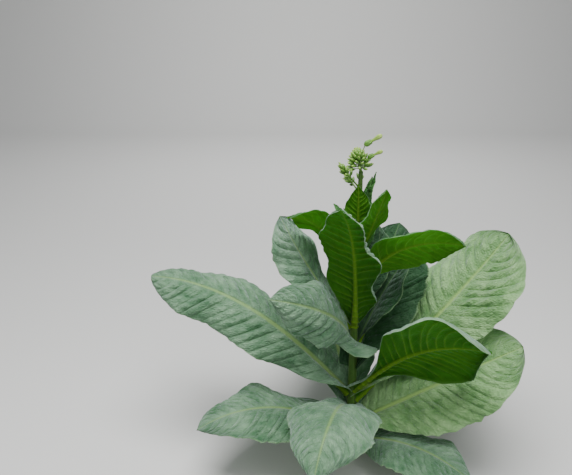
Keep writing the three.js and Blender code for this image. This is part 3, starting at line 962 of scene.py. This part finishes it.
def shape_stem(body):
    """Moves the rings onto the stem and gives them ridges and swellings."""
    points = points_of(body)
    angle = np.arctan2(points[:, 1], points[:, 0])
    flat = np.hypot(points[:, 0], points[:, 1])
    ridge = np.zeros(len(points))
    swell = np.zeros(len(points))
    for leaf in leaves:
        turn = np.angle(np.exp(1j * (angle - math.radians(leaf["azimuth"]))))
        below = leaf["height"] - points[:, 2]
        runs = np.exp(-np.clip(below, 0, None) / RIDGE_RUN) * (below > -SWELL_BELOW)
        beside = np.exp(-((np.abs(turn) - RIDGE_ASIDE) / RIDGE_SPAN) ** 2)
        ridge = np.maximum(ridge, runs * beside)
        near = np.exp(-((below - SWELL_BELOW) / SWELL_HEIGHT) ** 2)
        swell = np.maximum(swell, near * np.exp(-((turn / SWELL_SPAN) ** 2)))
    radius = np.array([stem_radius(z) for z in points[:, 2]])
    flutes = FLUTE_DEPTH * np.cos(FLUTES * angle + FLUTE_TWIST * points[:, 2])
    reach = radius * (1 + flutes + RIDGE * ridge)
    reach += LEAF_SWELL * swell * (radius / STEM_FOOT_RADIUS)
    centre = np.array([stem_centre(z) for z in points[:, 2]])
    centre[:, 0] += np.cos(angle) * reach * flat
    centre[:, 1] += np.sin(angle) * reach * flat
    body.data.vertices.foreach_set("co", centre.ravel())
    store(body.data, "ridge", np.maximum(ridge, swell))


heights = STEM_TOP * np.linspace(0, 1, STEM_RINGS + 1) ** RING_CROWDING
stem = stacked_rings("stem_skin", [float(z) for z in heights], STEM_SIDES)
shape_stem(stem)
stem.data.materials.append(stem_finish)
bpy.ops.object.shade_smooth_by_angle(angle=math.radians(FOOT_ANGLE))
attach(stem, "root")
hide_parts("stem")
print("stem faces:", len(stem.data.polygons))

# %% [markdown]
# ## Buds
# Each bud sits in a green ribbed calyx with five short teeth, and the pale petal tube shows at its
# top as a closed, blunt tip. Two buds are further on, and their long tubes stand out to the right.
#
# A particle system could strew buds over a ball, but their places wouldn't be those of the CAD
# model. So the places follow the source's rule: a spiral up each axis, from buds that stand
# straight out to buds that point along it. One calyx, one petal tip and one stalk are modelled
# for the short buds, and a calyx and a tip for the long ones. Each bud takes copies of them,
# stretched to its own length and width.

# %% Bud sizes
# In a cluster, `count` buds start at the turn `start`. `thick` is the axis's radius and `bare` the
# share of it without buds. The lowest bud leans out from the axis by `wide` degrees and the top one
# by `narrow`. They stand off by `far` and `near`, and they are `low_bud` and `top_bud` long.
HEAD = dict(
    count=52, start=20, thick=0.005, bare=0.28, wide=92, narrow=6, far=0.018, near=0.010,
    low_bud=0.021, top_bud=0.024,
)
BRANCH = dict(
    thick=0.003, bare=0.5, wide=46, narrow=6, far=0.006, near=0.005, low_bud=0.021, top_bud=0.023,
)


def heading(turn, rise):
    """A direction from its turn round the stem and its rise."""
    a, e = math.radians(turn), math.radians(rise)
    return Vector((math.cos(e) * math.cos(a), math.cos(e) * math.sin(a), math.sin(e)))


def cluster(start, end, size):
    """The buds of a cluster: root, foot, direction and length of each."""
    axis = (end - start).normalized()
    aside = Vector((0, 1, 0)).cross(axis).normalized()
    buds = []
    for k in range(size["count"]):
        t = (k + 0.5) / size["count"]
        root = start.lerp(end, size["bare"] + (1 - size["bare"]) * t)
        open_by = math.radians(size["wide"] * (1 - t) + size["narrow"] * t)
        turn = Quaternion(axis, math.radians(size["start"] + GOLDEN_TURN * k))
        way = (turn @ aside) * math.sin(open_by) + axis * math.cos(open_by)
        stalk = size["far"] * (1 - t) + size["near"] * t
        length = size["low_bud"] * (1 - t) + size["top_bud"] * t
        buds.append((root, root + way * stalk, way, length))
    return buds


print("short buds on the head:", HEAD["count"])

# %% The profiles of the buds
# Each pair is a height and a radius, as shares of the bud's length and of half its width.
CALYX_PROFILE = [
    (0.00, 0.22), (0.04, 0.50), (0.12, 0.76), (0.24, 0.92), (0.38, 0.98),
    (0.52, 0.95), (0.62, 0.88), (0.70, 0.80), (0.73, 0.70),
]
TIP_PROFILE = [
    (0.30, 0.40), (0.55, 0.68), (0.66, 0.64), (0.76, 0.58),
    (0.85, 0.52), (0.92, 0.42), (0.97, 0.26), (1.00, 0.08),
]
LONG_CALYX_PROFILE = [
    (0.00, 0.20), (0.02, 0.46), (0.07, 0.72), (0.14, 0.86),
    (0.22, 0.86), (0.29, 0.78), (0.34, 0.70), (0.36, 0.60),
]
LONG_TIP_PROFILE = [
    (0.12, 0.30), (0.30, 0.52), (0.40, 0.42), (0.50, 0.41), (0.60, 0.48), (0.70, 0.60),
    (0.79, 0.70), (0.87, 0.70), (0.94, 0.56), (0.98, 0.34), (1.00, 0.10),
]
STALK_PROFILE = [(0, 1.25), (0.15, 1.0), (0.5, 0.9), (0.85, 1.0), (1, 1.2)]
print("calyx tops:", CALYX_PROFILE[-1], LONG_CALYX_PROFILE[-1])

# %% Model the patterns
BUD_RIBS = 5
TEETH_START = 0.82
GAP_DEPTH = 0.3


def turned(name, profile, sides, rib_depth, teeth=0.0):
    """A closed round body after a profile, with lengthwise ribs and teeth at its top."""
    body = stacked_rings(name, [z for z, _ in profile], sides)
    points = points_of(body)
    angle = np.arctan2(points[:, 1], points[:, 0])
    flat = np.hypot(points[:, 0], points[:, 1])
    z = points[:, 2]
    radius = np.interp(z, [h for h, _ in profile], [r for _, r in profile])
    wave = np.cos(BUD_RIBS * angle)
    radius = radius * (1 + rib_depth * wave)
    top = profile[-1][0]
    near_top = np.clip((z / top - TEETH_START) / (1 - TEETH_START), 0, 1)
    points[:, 0] = np.cos(angle) * radius * flat
    points[:, 1] = np.sin(angle) * radius * flat
    points[:, 2] = z + teeth * near_top * np.maximum(wave, -GAP_DEPTH)
    body.data.vertices.foreach_set("co", points.ravel())
    bpy.ops.object.shade_smooth()
    return body


patterns = {
    "calyx": turned("pattern_calyx", CALYX_PROFILE, 20, rib_depth=0.07, teeth=0.10),
    "tip": turned("pattern_tip", TIP_PROFILE, 20, rib_depth=0.08),
    "long_calyx": turned("pattern_long_calyx", LONG_CALYX_PROFILE, 30, rib_depth=0.08, teeth=0.06),
    "long_tip": turned("pattern_long_tip", LONG_TIP_PROFILE, 30, rib_depth=0.09),
    "stalk": turned("pattern_stalk", STALK_PROFILE, 10, rib_depth=0.04),
}
print("patterns:", {key: len(body.data.polygons) for key, body in patterns.items()})

# %% [markdown]
# ### Bud finishes
# The calyx is a soft mid green, and the petal tip goes from green at its foot to a pale
# yellow-green at its end. Two finishes with a hard line between them would be simpler, but the
# real change is gradual. So the mesh marks how far along the bud each point lies with a `tip`
# value, and the finish mixes by it. A little light spreads inside the soft buds.

# %% The bud finishes
BLOTCH_SCALE = 160
GRAIN_SCALE = 900
BUD_TINT = (0.95, 1.0, 0.8, 1)
SPREAD_RADIUS = (0.4, 1.0, 0.2)


def bud_finish(name, dark, light, far, down):
    """A soft green, blotched dark and light, that turns to the far colour at the bud's end."""
    material, tree, shader = finish_tree(name)
    blotches = spread(tree, noise(tree, BLOTCH_SCALE, 3), 0.35, 0.65)
    colour = stir(tree, blotches, dark, light)
    colour = stir(tree, spread(tree, mark(tree, "tip"), 0.35, 0.95), colour, far)
    link(tree, colour, shader.inputs["Base Color"])
    shader.inputs["Roughness"].default_value = 0.5
    shader.inputs["Sheen Weight"].default_value = down
    shader.inputs["Sheen Roughness"].default_value = 0.4
    shader.inputs["Sheen Tint"].default_value = BUD_TINT
    shader.inputs["Subsurface Weight"].default_value = 0.15
    shader.inputs["Subsurface Radius"].default_value = SPREAD_RADIUS
    shader.inputs["Subsurface Scale"].default_value = 0.002
    link(tree, bump(tree, noise(tree, GRAIN_SCALE, 2), 0.35, 0.0004), shader.inputs["Normal"])
    return material


calyx_finish = bud_finish(
    "bud_calyx_green", dark=(0.055, 0.160, 0.012), light=(0.105, 0.240, 0.025),
    far=(0.15, 0.30, 0.045), down=0.12,
)
petal_finish = bud_finish(
    "bud_petal_pale", dark=(0.100, 0.230, 0.020), light=(0.160, 0.300, 0.035),
    far=(0.27, 0.39, 0.07), down=0.05,
)
twig_finish = bud_finish(
    "bud_twig_green", dark=(0.070, 0.180, 0.018), light=(0.120, 0.260, 0.035),
    far=(0.14, 0.28, 0.05), down=0.15,
)
print("bud finishes:", calyx_finish.name, petal_finish.name, twig_finish.name)

# %% Put one bud together
BUD_SLENDER = 0.31
BUD_GIRTH = 0.001
STALK_RADIUS = 0.0013
STALK_REACH = 0.06


def put(pattern, foot, way, length, width):
    """A copy of a pattern with its own mesh, from a foot along a direction."""
    copy = patterns[pattern].copy()
    copy.data = patterns[pattern].data.copy()
    bpy.context.collection.objects.link(copy)
    store(copy.data, "tip", points_of(copy)[:, 2])
    turn = Vector((0, 0, 1)).rotation_difference(way).to_matrix().to_4x4()
    size = Matrix.Diagonal((width / 2, width / 2, length, 1))
    copy.data.transform(Matrix.Translation(foot) @ turn @ size)
    return copy


def bud_parts(root, foot, way, length, width, long_bud=False):
    """The calyx, petal tip and stalk of one bud."""
    kind = "long_" if long_bud else ""
    stalk = foot + way * length * STALK_REACH - root
    return (
        put(kind + "calyx", foot, way, length, width),
        put(kind + "tip", foot, way, length, width),
        put("stalk", root, stalk.normalized(), stalk.length, 2 * STALK_RADIUS),
    )


print("width of the lowest buds, in millimetres:",
      round(1000 * (HEAD["low_bud"] * BUD_SLENDER + BUD_GIRTH), 1))

# %% Join the buds of a cluster
AXIS_SHARE = 0.8


def join(name, parts, finish, nodes):
    """Joins copies of one kind into one piece that rides with the plant."""
    bpy.ops.object.select_all(action="DESELECT")
    for part in parts:
        part.select_set(True)
    bpy.context.view_layer.objects.active = parts[0]
    bpy.ops.object.join()
    whole = bpy.context.object
    whole.name = name
    whole.data.name = name
    whole.data.materials.clear()
    whole.data.materials.append(finish)
    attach(whole, "root")
    if nodes:
        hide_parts(*nodes)


def make_cluster(name, start, end, size, extra=()):
    """All the buds of one CAD node, as three joined pieces."""
    found = [bud_parts(root, foot, way, length, length * BUD_SLENDER + BUD_GIRTH)
             for root, foot, way, length in cluster(start, end, size)]
    found += extra
    axis = end - start
    width = 2 * size["thick"] * AXIS_SHARE
    axis_twig = put("stalk", start, axis.normalized(), axis.length, width)
    calyces, tips, stalks = (list(kind) for kind in zip(*found))
    join(f"{name}_calyces", calyces, calyx_finish, [name])
    join(f"{name}_petals", tips, petal_finish, [])
    join(f"{name}_twigs", stalks + [axis_twig], twig_finish, [])
    return len(calyces)


print("cluster builder ready")

# %% Build the bud head
HEAD_REACH = Vector((-0.008, 0, 0.034))
HEAD_SINK = 0.002
LONG_BUDS = [
    dict(
        root=(-0.007, 0, 0.031), foot=(0.005, -0.005, 0.072),
        turn=-6, rise=32, length=0.054, width=0.018,
    ),
    dict(
        root=(-0.005, 0, 0.022), foot=(0.015, -0.011, 0.040),
        turn=-14, rise=28, length=0.044, width=0.015,
    ),
]

stem_tip = Vector(stem_centre(STEM_TOP))
long_parts = []
for bud in LONG_BUDS:
    root, foot = stem_tip + Vector(bud["root"]), stem_tip + Vector(bud["foot"])
    way = heading(bud["turn"], bud["rise"])
    long_parts.append(bud_parts(root, foot, way, bud["length"], bud["width"], True))
head_foot = stem_tip - Vector((0, 0, HEAD_SINK))
made = make_cluster("bud_head", head_foot, stem_tip + HEAD_REACH, HEAD, long_parts)
print("buds on the head:", made)

# %% Build the bud branches
# Name, turn round the stem, height of the foot, length, rise and count of buds.
BRANCHES = [
    ("bud_branch_left", 205, 0.862, 0.072, 48, 13),
    ("bud_branch_back", 122, 0.846, 0.050, 32, 9),
    ("bud_branch_right", 86, 0.860, 0.038, 24, 5),
]
BRANCH_SINK = 0.001

for name, turn, height, length, rise, count in BRANCHES:
    out = stem_radius(height) - BRANCH_SINK
    start = Vector(stem_centre(height)) + heading(turn, 0) * out
    end = start + heading(turn, rise) * length
    made += make_cluster(name, start, end, {**BRANCH, "count": count, "start": turn})
for body in patterns.values():
    bpy.data.objects.remove(body)
print("buds in all:", made)
